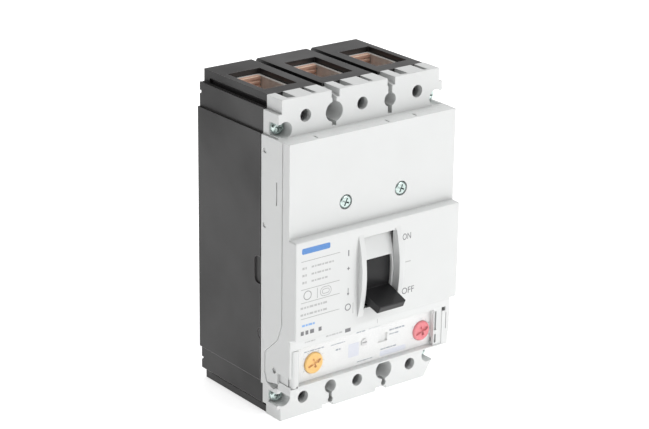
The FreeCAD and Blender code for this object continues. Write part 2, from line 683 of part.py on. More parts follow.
def contact_arm(pole_x):
    """Copper arm through the contact shaft, with a silver tip, in the open position."""
    x = (pole_x - ARM_HALF, pole_x + ARM_HALF)
    profile = [(-2.6, -7.0), (2.6, -7.0), (2.6, ARM_LENGTH), (-0.8, ARM_LENGTH), (-2.6, 27.5)]
    blade = plate_yz([(SHAFT_Y + y, SHAFT_Z + z) for y, z in profile], x)
    blade = turned_x(blade, SHAFT_Y, SHAFT_Z, ARM_OPEN)
    arm = fuse([blade, arm_piece(x, (2.4, 4.2), (26.5, 31.0), ARM_OPEN)])
    if pole_x == 0:
        y, z = crank_point(ARM_OPEN)
        arm = cut(arm, [rod_x(y, z, LINK_PIN_R, (-5, 5))])
    return arm


def crank_point(turn):
    """Crank pin (y, z) on the contact arm for a given rotation of the shaft."""
    angle = math.radians(turn)
    return (SHAFT_Y - CRANK_R * math.sin(angle), SHAFT_Z + CRANK_R * math.cos(angle))


def contact_shaft():
    """Moulded bar across all poles that carries the contact arms."""
    shaft = rod_x(SHAFT_Y, SHAFT_Z, SHAFT_R, (-SHAFT_HALF, SHAFT_HALF))
    neck = rod_x(SHAFT_Y, SHAFT_Z, SHAFT_R + 1, (ARM_HALF, 5.8)).cut(rod_x(SHAFT_Y, SHAFT_Z, 4.3, (0, 7)))
    shaft = cut(shaft, both_sides(neck))
    arms = [contact_arm(pole_x) for pole_x in POLES.values()]
    return cut(shaft, arms)


def arc_chute(pole_x):
    """Stack of notched steel plates between two insulating side walls."""
    half = 9.4
    walls = [block((pole_x + side * half, pole_x + side * (half + 1.2)), (-40.0, -7.0), (20.0, 47.0))
             for side in (-1, 1)]
    plates = []
    for index in range(9):
        y = -9.0 - index * 3.6
        plate = block((pole_x - half, pole_x + half), (y - 1.1, y), (21.0, 46.0))
        notch = plate_xz([(pole_x - 5.0, 20.0), (pole_x - 4.0, 26.0), (pole_x, 30.0), (pole_x + 4.0, 26.0),
                          (pole_x + 5.0, 20.0)], (y - 2, y + 1))
        plates.append(plate.cut(notch))
    return walls + plates


def load_conductor(pole_x):
    """Copper bar from the trip unit to the load terminal."""
    profile = [(BAR_REAR, -CAGE_RIM), (BAR_FRONT, -CAGE_RIM), (BAR_FRONT, -31.0), (BAR_REAR, -31.0)]
    bar = plate_yz(profile, (pole_x - BAR_HALF, pole_x + BAR_HALF))
    return cut(bar, serration_tools(pole_x, -1))


def bimetal(pole_x):
    """Bimetal strip that bends as the load current warms it."""
    strip = block((pole_x - 4.0, pole_x + 4.0), (-46.0, BAR_FRONT), (-49.2, -48.2))
    foot = block((pole_x - 4.0, pole_x + 4.0), (BAR_FRONT - 1.0, BAR_FRONT), (-49.2, -43.0))
    return fuse([strip, foot])


def magnet_yokes():
    """Steel U channels around the bimetals."""
    yokes = []
    for pole_x in POLES.values():
        outer = block((pole_x - 7.1, pole_x + 7.1), (-46.8, -40.0), (-52.3, -47.4))
        yokes.append(outer.cut(block((pole_x - 5.6, pole_x + 5.6), (-48, -39), (-51.0, -46))))
    return yokes


def flexible_braids():
    """Copper braids from the contact arms to the load conductors."""
    braids = []
    start = turned_point(-2.6, -7.0, ARM_OPEN)
    for pole_x in POLES.values():
        outline = [(start[0] + 4.2, start[1] - 0.4), (-21.5, -24.5), (-19.5, -29.0),
                   (BAR_FRONT - 0.05, -31.6), (BAR_FRONT - 0.05, -36.0),
                   (BAR_FRONT - 1.8, -36.0), (BAR_FRONT - 1.8, -33.0),
                   (-21.2, -30.0), (-23.8, -25.0), (start[0], start[1] - 0.05)]
        braids.append(plate_yz(outline, (pole_x - 3.5, pole_x + 3.5)))
    return braids


def turned_point(across, along, turn):
    """Point (y, z) of the arm's own frame after a turn about the shaft."""
    angle = math.radians(turn)
    return (SHAFT_Y + across * math.cos(angle) - along * math.sin(angle),
            SHAFT_Z + across * math.sin(angle) + along * math.cos(angle))


# ---------------------------------------------------------------- toggle and mechanism
def toggle_lever():
    """Black lever with the arc skirt that closes the slot."""
    inner_r = SKIRT_R - SKIRT_THICK
    skirt = ring_sector(SKIRT_R, inner_r, SHIELD_HALF, SKIRT_LOW, SHIELD_LOW + SHIELD_WEB)
    tail = ring_sector(inner_r + 0.1, inner_r - SKIRT_THICK, SHIELD_HALF, TAIL_LOW, SKIRT_LOW + 2.0)
    blade = plate_yz([(-66.0, -15.1), (-66.0, -18.6), (-80.3, -23.1), (-82.0, -19.8)],
                     (-SHIELD_HALF, SHIELD_HALF))
    taper = prism([Vector(SHIELD_HALF + 0.1, -60, -40), Vector(SHIELD_HALF + 0.1, -71, -40),
                   Vector(7.0, -83, -40), Vector(12, -83, -40), Vector(12, -60, -40)], Vector(0, 0, 40))
    blade = cut(blade, both_sides(taper))
    blade = rounded(blade, 0.5, lambda p: p.y < -78.0)
    hub = ring_sector(inner_r + 0.1, 34.7, 6.2, YOKE_ANGLE - 7, YOKE_ANGLE + 7)
    return fuse([skirt, tail, blade, hub])


def slot_shield():
    """Light grey arc strip that rides above the black skirt."""
    inner_r = SHIELD_R - SHIELD_THICK
    strip = ring_sector(SHIELD_R, inner_r, SHIELD_HALF, SHIELD_LOW, SHIELD_HIGH)
    web = ring_sector(inner_r + 0.1, SKIRT_R, SHIELD_HALF, SHIELD_LOW, SHIELD_LOW + SHIELD_WEB)
    return fuse([strip, web])


def handle_yoke():
    """Steel yoke under the lever, turning on two stubs in the side plates."""
    leg_x = (7.3, 8.3)
    tip = on_pivot(34.6, YOKE_ANGLE)
    leg = link_plate((PIVOT_Y, PIVOT_Z), tip, 5.0, leg_x, 0.5, 0.5)
    leg = leg.common(rod_x(PIVOT_Y, PIVOT_Z, 34.6, (0, 12)))
    leg = fuse([leg, rod_x(PIVOT_Y, PIVOT_Z, 1.5, (7.3, 10.1))])
    bridge = ring_sector(34.6, 33.4, 8.3, YOKE_ANGLE - 5.0, YOKE_ANGLE + 5.0)
    hook = block((-3.2, 3.2), (on_pivot(33.6, YOKE_ANGLE)[0], on_pivot(31.6, YOKE_ANGLE)[0]),
                 (on_pivot(32.0, YOKE_ANGLE)[1] - 0.6, on_pivot(32.0, YOKE_ANGLE)[1] + 0.6))
    return fuse(both_sides(leg) + [bridge, hook])


def mechanism_frame():
    """Two steel side plates joined at the rear, in the centre pole."""
    outline = [(-6.2, -20.0), (-6.2, 6.0), (-20.0, 14.5), (-38.0, 14.5), (-49.0, 3.0), (-49.0, -17.0),
               (-40.0, -22.0), (-10.0, -22.0)]
    plate = plate_yz(outline, (8.9, 10.3))
    plate = cut(plate, [rod_x(SHAFT_Y, SHAFT_Z, SHAFT_R + 0.6, (8, 11)),
                        rod_x(PIVOT_Y, PIVOT_Z, 1.56, (8, 11)),
                        rod_x(CRADLE_PIVOT[0], CRADLE_PIVOT[1], 1.5, (8, 11))])
    web = block((-10.3, 10.3), (-7.4, -6.2), (-19.0, 5.0))
    return fuse(both_sides(plate) + [web])


def knee_point(turn):
    """Knee (y, z) where the two links meet, for a given rotation of the shaft."""
    c = crank_point(turn)
    dy, dz = c[0] - LINK_A[0], c[1] - LINK_A[1]
    span = math.hypot(dy, dz)
    along = (LINK_UPPER ** 2 - LINK_LOWER ** 2 + span ** 2) / (2 * span)
    offset = math.sqrt(max(LINK_UPPER ** 2 - along ** 2, 0.0)) * KNEE_OPEN_SIDE
    return (LINK_A[0] + dy / span * along - dz / span * offset,
            LINK_A[1] + dz / span * along + dy / span * offset)


def upper_link():
    """Pair of links from the cradle to the knee, joined by the knee pin."""
    knee = knee_point(ARM_OPEN)
    side = link_plate(LINK_A, knee, 4.6, (4.6, 5.5), LINK_PIN_R + 0.08, 0.3)
    pin = rod_x(knee[0], knee[1], KNEE_PIN_R, (-5.5, 5.5))
    return fuse(both_sides(side) + [pin])


def lower_link():
    """Pair of links from the knee to the crank pin; the knee hole is wide, as the open pivot."""
    knee = knee_point(ARM_OPEN)
    crank = crank_point(ARM_OPEN)
    side = link_plate(knee, crank, 4.4, (3.3, 4.3), KNEE_PIN_R + KNEE_PLAY, LINK_PIN_R + 0.06)
    return both_sides(side)


def link_pin():
    """Crank pin through the centre contact arm."""
    y, z = crank_point(ARM_OPEN)
    return rod_x(y, z, LINK_PIN_R, (-4.4, 4.4))


def latch_cradle():
    """Latched cradle: two plates on a pin, holding the upper links' pivot."""
    outline = [(-34.0, 12.6), (-31.6, 10.0), (-34.0, 7.4), (-43.4, -9.0), (-48.2, -9.4), (-48.6, -5.0),
               (-42.0, 8.0), (-44.5, 13.0), (-41.0, 14.0), (-37.5, 12.6)]
    plate = plate_yz(outline, (5.9, 6.9))
    pivot = rod_x(CRADLE_PIVOT[0], CRADLE_PIVOT[1], 1.5, (-10.3, 10.3))
    link_pivot = rod_x(LINK_A[0], LINK_A[1], LINK_PIN_R, (-6.9, 6.9))
    return fuse(both_sides(plate) + [pivot, link_pivot])


def main_springs():
    """Two tension springs from the knee pin to the yoke, as coils."""
    knee = knee_point(ARM_OPEN)
    anchor = on_pivot(31.4, YOKE_ANGLE)
    return [coil_between(side * 1.65, knee, anchor) for side in (-1, 1)]


def coil(pitch, height, coil_r, wire_r):
    """Helical spring that rises along +Z from the origin."""
    helix = Part.makeHelix(pitch, height, coil_r)
    along_wire = Vector(0, 2 * math.pi * coil_r, pitch).normalize()
    outward = Vector(1, 0, 0)
    upward = along_wire.cross(outward)
    corners = []
    for side in range(WIRE_SIDES):
        angle = 2 * math.pi * side / WIRE_SIDES
        corners.append(outward * (coil_r + wire_r * math.cos(angle)) + upward * (wire_r * math.sin(angle)))
    section = Part.makePolygon(corners + [corners[0]])
    return Part.Wire(helix.Edges).makePipeShell([section], True, True)


def coil_between(x, start, end):
    """Helical spring in a plane of constant X, kept clear of the pins at both ends."""
    direction = Vector(0, end[0] - start[0], end[1] - start[1])
    height = direction.Length - 2 * SPRING_END_GAP
    spring = coil(height / SPRING_TURNS, height, SPRING_COIL_R, SPRING_WIRE_R)
    turn = FreeCAD.Rotation(Vector(0, 0, 1), direction)
    origin = Vector(x, start[0], start[1]) + direction.normalize() * SPRING_END_GAP
    spring.Placement = FreeCAD.Placement(origin, turn)
    return spring


# ---------------------------------------------------------------- trip unit
def trip_unit_housing():
    """Box with the setting face: holes for the dials, the trip button and the trip bar."""
    face = block((-39.9, 35.3), (FACEPLATE, FACEPLATE + 1.8), (TRIM_TOP + 0.4, TRIM_LOW))
    outer = block((-36.9, 35.3), (FACEPLATE + 1.0, -48.1), (-37.0, TRIM_LOW))
    hollow = block((-35.1, 33.5), (FACEPLATE + 1.8, -46.0), (-38.6, TRIM_LOW + 1.6))
    box = cut(fuse([face, outer]), [hollow])
    bosses = [rod_y(x, DIAL_Z, 4.0, (FACEPLATE + 1, -58.0)) for x in (-DIAL_X, DIAL_X)]
    boss_button = rod_y(BUTTON_X, BUTTON_Z, 2.8, (FACEPLATE + 1, -59.0))
    box = fuse([box, boss_button] + bosses)
    tools = [rod_x(PIVOT_Y, PIVOT_Z, SKIRT_R + 0.7, (-9.6, 9.6)),
             rod_x(TRIP_Y, TRIP_Z, TRIP_R + RUNNING_FIT, (-40, 40)),
             rod_y(BUTTON_X, BUTTON_Z, BUTTON_R + RUNNING_FIT, (-70, -50))]
    for x, radius in ((-DIAL_X, 5.0), (DIAL_X, 4.7)):
        tools.append(rod_y(x, DIAL_Z, radius, (-70, FACEPLATE + 1.0)))
        tools.append(rod_y(x, DIAL_Z, 2.5, (-70, -50)))
    recess = block((5.6, 10.8), (-70, FACEPLATE + 0.8), (-45.2, -41.2))
    return cut(box, tools + [recess])


def setting_dial(x, radius):
    """Dial with a screwdriver cross, a pointer notch and a stem."""
    disc = rod_y(x, DIAL_Z, radius, (DIAL_FACE, FACEPLATE + 0.9))
    disc = chamfered(disc, 0.4, lambda p: abs(p.y - DIAL_FACE) < 0.01)
    stem = rod_y(x, DIAL_Z, 2.44, (FACEPLATE + 0.8, -56.0))
    slot = block((x - 3.4, x + 3.4), (DIAL_FACE - 1, DIAL_FACE + 0.9), (DIAL_Z - 0.6, DIAL_Z + 0.6))
    cross = block((x - 0.6, x + 0.6), (DIAL_FACE - 1, DIAL_FACE + 0.9), (DIAL_Z - 2.3, DIAL_Z + 2.3))
    tip = plate_xz([(x + 1.8, DIAL_Z - 1.3), (x + 3.9, DIAL_Z), (x + 1.8, DIAL_Z + 1.3)],
                   (DIAL_FACE - 1, DIAL_FACE + 0.9))
    return cut(fuse([disc, stem]), [turned_y(tool, x, DIAL_Z, -20) for tool in (slot, cross, tip)])


def trip_button():
    """Push-to-trip pin with a driver slot in its face."""
    stem = rod_y(BUTTON_X, BUTTON_Z, BUTTON_R, (-65.9, -57.2))
    nose = rod_y(BUTTON_X, BUTTON_Z, 0.9, (-57.2, TRIP_PADDLE_FRONT - 0.24))
    collar = rod_y(BUTTON_X, BUTTON_Z, 2.3, (-58.8, -57.2))
    slot = block((BUTTON_X - 1.2, BUTTON_X + 1.2), (-67, -65.4), (BUTTON_Z - 0.25, BUTTON_Z + 0.25))
    return cut(fuse([stem, nose, collar]), [slot])


def trip_button_spring():
    """Return spring around the button's nose."""
    spring = coil(BUTTON_SPRING_PITCH, BUTTON_SPRING_LENGTH, BUTTON_SPRING_R, BUTTON_SPRING_WIRE_R)
    start = Vector(BUTTON_X, BUTTON_SPRING_TOP, BUTTON_Z)
    spring.Placement = FreeCAD.Placement(start, FreeCAD.Rotation(Vector(1, 0, 0), -90))
    return spring


def trip_bar():
    """Bar across the poles: a paddle for the button and a lug for each armature."""
    bar = rod_x(TRIP_Y, TRIP_Z, TRIP_R, (-36.7, 35.0))
    paddle = block((BUTTON_X - 2.2, BUTTON_X + 2.2), (TRIP_PADDLE_FRONT, TRIP_PADDLE_FRONT + 1.6),
                   (TRIP_Z, TRIP_PADDLE_TOP))
    lugs = []
    for pole_x in POLES.values():
        lug = [(-52.2, TRIP_Z), (-52.2, -44.4), (-47.2, -44.4), (-47.2, -45.4), (-49.8, TRIP_Z)]
        lugs.append(plate_yz(lug, (pole_x - 2.5, pole_x + 2.5)))
    return fuse([bar, paddle] + lugs)


def armatures():
    """Iron plates on the trip bar, pulled onto the magnet yokes by a short circuit."""
    return [block((pole_x - 6.5, pole_x + 6.5), (-47.2, -41.0), (-45.4, -44.4))
            for pole_x in POLES.values()]


# ---------------------------------------------------------------- all nodes
def all_nodes():
    """Every node as name and list of solids."""
    nodes = {
        "base_housing": base_housing(),
        "main_cover": main_cover(),
        "front_cover": front_cover(),
        "setting_flap": setting_flap(),
        "flap_catch": flap_catch(),
        "front_cover_screws": front_cover_screws(),
        "main_cover_screws": main_cover_screws(),
        "toggle_lever": toggle_lever(),
        "slot_shield": slot_shield(),
        "handle_yoke": handle_yoke(),
        "mechanism_frame": mechanism_frame(),
        "latch_cradle": latch_cradle(),
        "upper_link": upper_link(),
        "lower_link": lower_link(),
        "link_pin": link_pin(),
        "main_springs": main_springs(),
        "contact_shaft": contact_shaft(),
        "magnet_yokes": magnet_yokes(),
        "flexible_braids": flexible_braids(),
        "trip_unit_housing": trip_unit_housing(),
        "overload_dial": setting_dial(-DIAL_X, 4.8),
        "short_circuit_dial": setting_dial(DIAL_X, 4.5),
        "trip_button": trip_button(),
        "trip_button_spring": trip_button_spring(),
        "trip_bar": trip_bar(),
        "armatures": armatures(),
    }
    for pole, pole_x in POLES.items():
        nodes[f"line_conductor_{pole}"] = line_conductor(pole_x)
        nodes[f"contact_arm_{pole}"] = contact_arm(pole_x)
        nodes[f"arc_chute_{pole}"] = arc_chute(pole_x)
        nodes[f"bimetal_{pole}"] = bimetal(pole_x)
        nodes[f"load_conductor_{pole}"] = load_conductor(pole_x)
        for end_name, end in ENDS.items():
            nodes[f"clamp_cage_{end_name}_{pole}"] = clamp_cage(pole_x, end)
            nodes[f"pressure_pad_{end_name}_{pole}"] = pressure_pad(pole_x, end)
            nodes[f"clamp_screw_{end_name}_{pole}"] = clamp_screw(pole_x, end)
    return nodes


def write_node(name, shape):
    """Write one node's solids as a STEP file."""
    pieces = shape if isinstance(shape, list) else [shape]
    solids = [solid for piece in pieces for solid in piece.Solids]
    joined = solids[0] if len(solids) == 1 else Part.makeCompound(solids)
    joined.exportStep(f"parts/{name}.step")
    print(f"{name}: {len(solids)} solid(s), {joined.Volume:.1f} mm3, valid {joined.isValid()}")


for node_name, node_shape in all_nodes().items():
    write_node(node_name, node_shape)
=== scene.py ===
import json
import math

import bmesh
import bpy
from mathutils import Matrix, Vector


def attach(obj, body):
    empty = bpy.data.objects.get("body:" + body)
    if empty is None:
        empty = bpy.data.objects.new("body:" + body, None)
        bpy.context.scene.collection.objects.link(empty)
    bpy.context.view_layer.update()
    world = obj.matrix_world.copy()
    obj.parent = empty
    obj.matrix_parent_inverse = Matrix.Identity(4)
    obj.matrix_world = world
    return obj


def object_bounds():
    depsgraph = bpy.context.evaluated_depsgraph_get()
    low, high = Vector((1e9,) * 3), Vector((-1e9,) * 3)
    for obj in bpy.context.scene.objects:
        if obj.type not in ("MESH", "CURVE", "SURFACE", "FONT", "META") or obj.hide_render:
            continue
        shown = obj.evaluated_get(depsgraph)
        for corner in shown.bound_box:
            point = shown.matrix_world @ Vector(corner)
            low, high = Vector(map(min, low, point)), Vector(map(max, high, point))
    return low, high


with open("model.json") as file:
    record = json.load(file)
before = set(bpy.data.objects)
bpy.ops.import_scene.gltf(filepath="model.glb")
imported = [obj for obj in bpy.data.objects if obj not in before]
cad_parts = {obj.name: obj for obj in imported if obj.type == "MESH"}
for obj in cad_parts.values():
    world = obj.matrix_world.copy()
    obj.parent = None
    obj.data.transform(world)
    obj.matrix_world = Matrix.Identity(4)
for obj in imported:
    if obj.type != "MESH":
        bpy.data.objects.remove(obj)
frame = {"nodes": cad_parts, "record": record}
cad_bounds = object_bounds()

MM = 0.001

# ---------------------------------------------------------------- places, in millimetres in the row frame
PANEL_FACE = -72.0                      # raised panel around the toggle
TRIM_FACE = -68.0                       # strip between the panel and the flap
FACEPLATE_FACE = -65.4                  # trip unit's setting face, under the flap
FLAP_PLAIN_FROM = -39.6                 # left of this the flap is white and no longer clear
DIALS = {"overload": (-30.0, -45.3, 4.8), "short_circuit": (30.0, -45.3, 4.5)}
SETTING_ROWS = (                        # span in X, Z and height of each row of print on that face
    ((-34.8, -24.0), -39.4, 0.5),
    ((-20.3, -12.8), -39.8, 0.4),
    ((-17.8, -14.9), -42.6, 0.7),
    ((-6.5, -1.7), -37.4, 0.5),
    ((0.2, 6.6), -37.0, 0.5),
    ((7.2, 16.0), -48.7, 0.6),
    ((12.0, 20.4), -40.6, 0.7),
    ((12.0, 17.6), -42.6, 0.5),
    ((-5.9, 2.5), -51.3, 0.4),
)
INK_THICKNESS = 0.03                    # printed marks stand proud by this much
SINK = 0.01                             # and start this far inside the surface
CIRCLE_STEPS = 40
CREVICE_SHADE_REACH = 5.0                     # surfaces this near to each other get painted shade
SHADE_SAMPLES = 6                       # rays for the softened edges and for the painted crevice shade
SYMBOL_X = -16.8                        # column of symbols left of the toggle
RULE_LEVELS = (5.6, -7.0, -13.0, -20.2)
PRINT_LEVELS = (2.5, -0.7, -3.9)        # small print between the upper two rules
LOWER_PRINT_LEVELS = (-15.3, -18.4)     # and between the lower two
TICK_COUNT = 9
TICK_TURN = 30                          # degrees between ticks
TICK_START = -30
TICK_HALF_WIDTH = 0.1

CAMERA_PLACE = (-0.53788, -0.72992, 0.32846)
CAMERA_YAW = math.radians(-37.666)
CAMERA_PITCH = math.radians(-20.097)
CAMERA_ROLL = math.radians(0.748)
CAMERA_LENS = 118.14                    # mm, on a 36 mm wide sensor
SENSOR_WIDTH = 36.0

SURROUND_LEFT = 0.04                    # strength of the light that comes from the left
SURROUND_RIGHT = 0.70                   # and from everywhere else
FLOOR_HALF = 6.0
FLOOR_GAP = 0.05                        # keeps the floor off the base's underside
FLOOR_GLOW = 0.74
KEY_POWER = 7.2
TOP_POWER = 9.0
LOW_LEFT_POWER = 0.18                   # lifts the lower rear of the black side


# ---------------------------------------------------------------- node helpers
def new_material(name):
    """An empty node material with its shader and output, as (material, tree, shader)."""
    material = bpy.data.materials.new(name)
    material.use_nodes = True
    tree = material.node_tree
    tree.nodes.clear()
    output = tree.nodes.new("ShaderNodeOutputMaterial")
    shader = tree.nodes.new("ShaderNodeBsdfPrincipled")
    tree.links.new(shader.outputs["BSDF"], output.inputs["Surface"])
    return material, tree, shader


def place_of(tree, stretch=(1, 1, 1)):
    """Object coordinates, stretched per axis."""
    coordinates = tree.nodes.new("ShaderNodeTexCoord")
    mapping = tree.nodes.new("ShaderNodeMapping")
    mapping.inputs["Scale"].default_value = stretch
    tree.links.new(coordinates.outputs["Object"], mapping.inputs["Vector"])
    return mapping.outputs["Vector"]


def noise(tree, per_metre, detail=2.0, stretch=(1, 1, 1)):
    """A noise value between 0 and 1 with that many cells to the metre."""
    node = tree.nodes.new("ShaderNodeTexNoise")
    node.inputs["Scale"].default_value = per_metre
    node.inputs["Detail"].default_value = detail
    tree.links.new(place_of(tree, stretch), node.inputs["Vector"])
    return node.outputs["Fac"]


def ramp(tree, value, low, high):
    """value spread so that low becomes 0 and high becomes 1."""
    node = tree.nodes.new("ShaderNodeMapRange")
    node.inputs["From Min"].default_value = low
    node.inputs["From Max"].default_value = high
    tree.links.new(value, node.inputs["Value"])
    return node.outputs["Result"]


def blend_colours(tree, share, first, second):
    """first where share is 0 and second where it is 1. Each is a colour or a node's output."""
    node = tree.nodes.new("ShaderNodeMix")
    node.data_type = "RGBA"
    tree.links.new(share, node.inputs["Factor"])
    for name, colour in (("A", first), ("B", second)):
        socket = next(s for s in node.inputs if s.name == name and s.type == "RGBA")
        if isinstance(colour, bpy.types.NodeSocket):
            tree.links.new(colour, socket)
        else:
            socket.default_value = (*colour, 1)
    return next(s for s in node.outputs if s.type == "RGBA")


def soft_edges(tree, radius):
    """A normal that rounds sharp edges off by that radius."""
    node = tree.nodes.new("ShaderNodeBevel")
    node.samples = SHADE_SAMPLES
    node.inputs["Radius"].default_value = radius * MM
    return node.outputs["Normal"]


def edge_highlight_share(tree, rounded):
    """Share of painted edge highlight: 1 at the sharp edges and 0 on flat faces."""
    geometry = tree.nodes.new("ShaderNodeNewGeometry")
    dot = tree.nodes.new("ShaderNodeVectorMath")
    dot.operation = "DOT_PRODUCT"
    tree.links.new(rounded, dot.inputs[0])
    tree.links.new(geometry.outputs["Normal"], dot.inputs[1])
    return ramp(tree, dot.outputs["Value"], 0.995, 0.85)


def crevice_painted_shade(tree, depth):
    """Share of painted crevice shade: 0 in the open, rising to depth where surfaces of the same piece
    close in.
    """
    node = tree.nodes.new("ShaderNodeAmbientOcclusion")
    node.samples = SHADE_SAMPLES
    node.only_local = True
    node.inputs["Distance"].default_value = CREVICE_SHADE_REACH * MM
    share = ramp(tree, node.outputs["AO"], 0.2, 0.8)
    share.node.inputs["To Min"].default_value = depth
    share.node.inputs["To Max"].default_value = 0.0
    return share


def bump(tree, height, depth, normal=None):
    """A normal bumped by height, depth millimetres deep."""
    node = tree.nodes.new("ShaderNodeBump")
    node.inputs["Strength"].default_value = 1.0
    node.inputs["Distance"].default_value = depth * MM
    tree.links.new(height, node.inputs["Height"])
    if normal is not None:
        tree.links.new(normal, node.inputs["Normal"])
    return node.outputs["Normal"]


# ---------------------------------------------------------------- materials
def moulded(name, colour, roughness, grain=2600, depth=0.012, edge=0.25, edge_highlight_gain=1.12, uneven=0.03,
            specular=0.5, crevice_shade=0.35):
    """Moulded plastic: fine spark-eroded grain, uneven tone, softened edges with a painted highlight along
    them, and painted shade in crevices.
    """
    material, tree, shader = new_material(name)
    rounded = soft_edges(tree, edge)
    tone = ramp(tree, noise(tree, 55, 3), 0.3, 0.7)
    darker = tuple(c * (1 - uneven) for c in colour)
    lighter = tuple(min(c * (1 + uneven), 1) for c in colour)
    body = blend_colours(tree, tone, darker, lighter)
    # painted highlight: the colour is lightened along the edges
    edges = tuple(min(c * edge_highlight_gain, 1) for c in colour)
    edge_lit = blend_colours(tree, edge_highlight_share(tree, rounded), body, edges)
    # painted shade: crevices darken towards a quarter of the colour
    crevice_shade_colour = tuple(c * 0.25 for c in colour)
    shown = blend_colours(tree, crevice_painted_shade(tree, crevice_shade), edge_lit, crevice_shade_colour)
    tree.links.new(shown, shader.inputs["Base Color"])
    fine = noise(tree, grain, 2)
    rough = ramp(tree, noise(tree, 22, 3), 0.3, 0.7)
    rough.node.inputs["To Min"].default_value = roughness - uneven
    rough.node.inputs["To Max"].default_value = roughness + uneven
    tree.links.new(rough, shader.inputs["Roughness"])
    tree.links.new(bump(tree, fine, depth, rounded), shader.inputs["Normal"])
    shader.inputs["Specular IOR Level"].default_value = specular
    return material


def metal(name, colour, roughness, brushed=(1, 1, 1), scale=900, depth=0.006, stain=0.25, edge=0.15,
          blotch=260, edge_highlight_gain=1.25, metallic=1.0, crevice_shade=0.55):
    """Worked metal: streaks along the working direction, light staining, softened edges with a painted
    highlight along them, and painted shade in crevices.
    """
    material, tree, shader = new_material(name)
    shader.inputs["Metallic"].default_value = metallic
    rounded = soft_edges(tree, edge)
    streaks = noise(tree, scale, 3, brushed)
    blotches = ramp(tree, noise(tree, blotch, 4), 0.35, 0.75)
    stained = tuple(c * (1 - stain) for c in colour)
    body = blend_colours(tree, blotches, colour, stained)
    # painted highlight: the colour is lightened along the edges
    edges = tuple(min(c * edge_highlight_gain, 1) for c in colour)
    edge_lit = blend_colours(tree, edge_highlight_share(tree, rounded), body, edges)
    # painted shade: crevices darken towards a fifth of the colour
    crevice_shade_colour = tuple(c * 0.2 for c in colour)
    shown = blend_colours(tree, crevice_painted_shade(tree, crevice_shade), edge_lit, crevice_shade_colour)
    tree.links.new(shown, shader.inputs["Base Color"])
    rough = ramp(tree, streaks, 0.25, 0.75)
    rough.node.inputs["To Min"].default_value = max(roughness - 0.1, 0.05)
    rough.node.inputs["To Max"].default_value = roughness + 0.12
    tree.links.new(rough, shader.inputs["Roughness"])
    tree.links.new(bump(tree, streaks, depth, rounded), shader.inputs["Normal"])
    return material


def clear_plastic(name):
    """Clear polycarbonate with a faint haze of fine scratches, white along its hinge."""
    material, tree, shader = new_material(name)
    rounded = soft_edges(tree, 0.2)
    haze = ramp(tree, noise(tree, 140, 4), 0.3, 0.7)
    haze.node.inputs["To Min"].default_value = 0.03
    haze.node.inputs["To Max"].default_value = 0.06
    parts = tree.nodes.new("ShaderNodeSeparateXYZ")
    tree.links.new(place_of(tree), parts.inputs["Vector"])
    plain = ramp(tree, parts.outputs["X"], FLAP_PLAIN_FROM * MM, (FLAP_PLAIN_FROM - 0.3) * MM)
    solid = tree.nodes.new("ShaderNodeMath")
    solid.operation = "MAXIMUM"
    tree.links.new(haze, solid.inputs[0])
    tree.links.new(plain, solid.inputs[1])
    tree.links.new(solid.outputs["Value"], shader.inputs["Alpha"])
    shown = blend_colours(tree, plain, (0.95, 0.95, 0.95), (0.74, 0.75, 0.745))
    tree.links.new(shown, shader.inputs["Base Color"])
    shader.inputs["Roughness"].default_value = 0.2
    tree.links.new(bump(tree, noise(tree, 300, 2), 0.01, rounded), shader.inputs["Normal"])
    return material


def ink(name, colour):
    """Printed ink, slightly thin in places so that the grey plastic shows through."""
    material, tree, shader = new_material(name)
    thin = ramp(tree, noise(tree, 2400, 2), 0.3, 0.8)
    faded = tuple(c + (0.8 - c) * 0.18 for c in colour)
    tree.links.new(blend_colours(tree, thin, colour, faded), shader.inputs["Base Color"])
    shader.inputs["Roughness"].default_value = 0.5
    return material


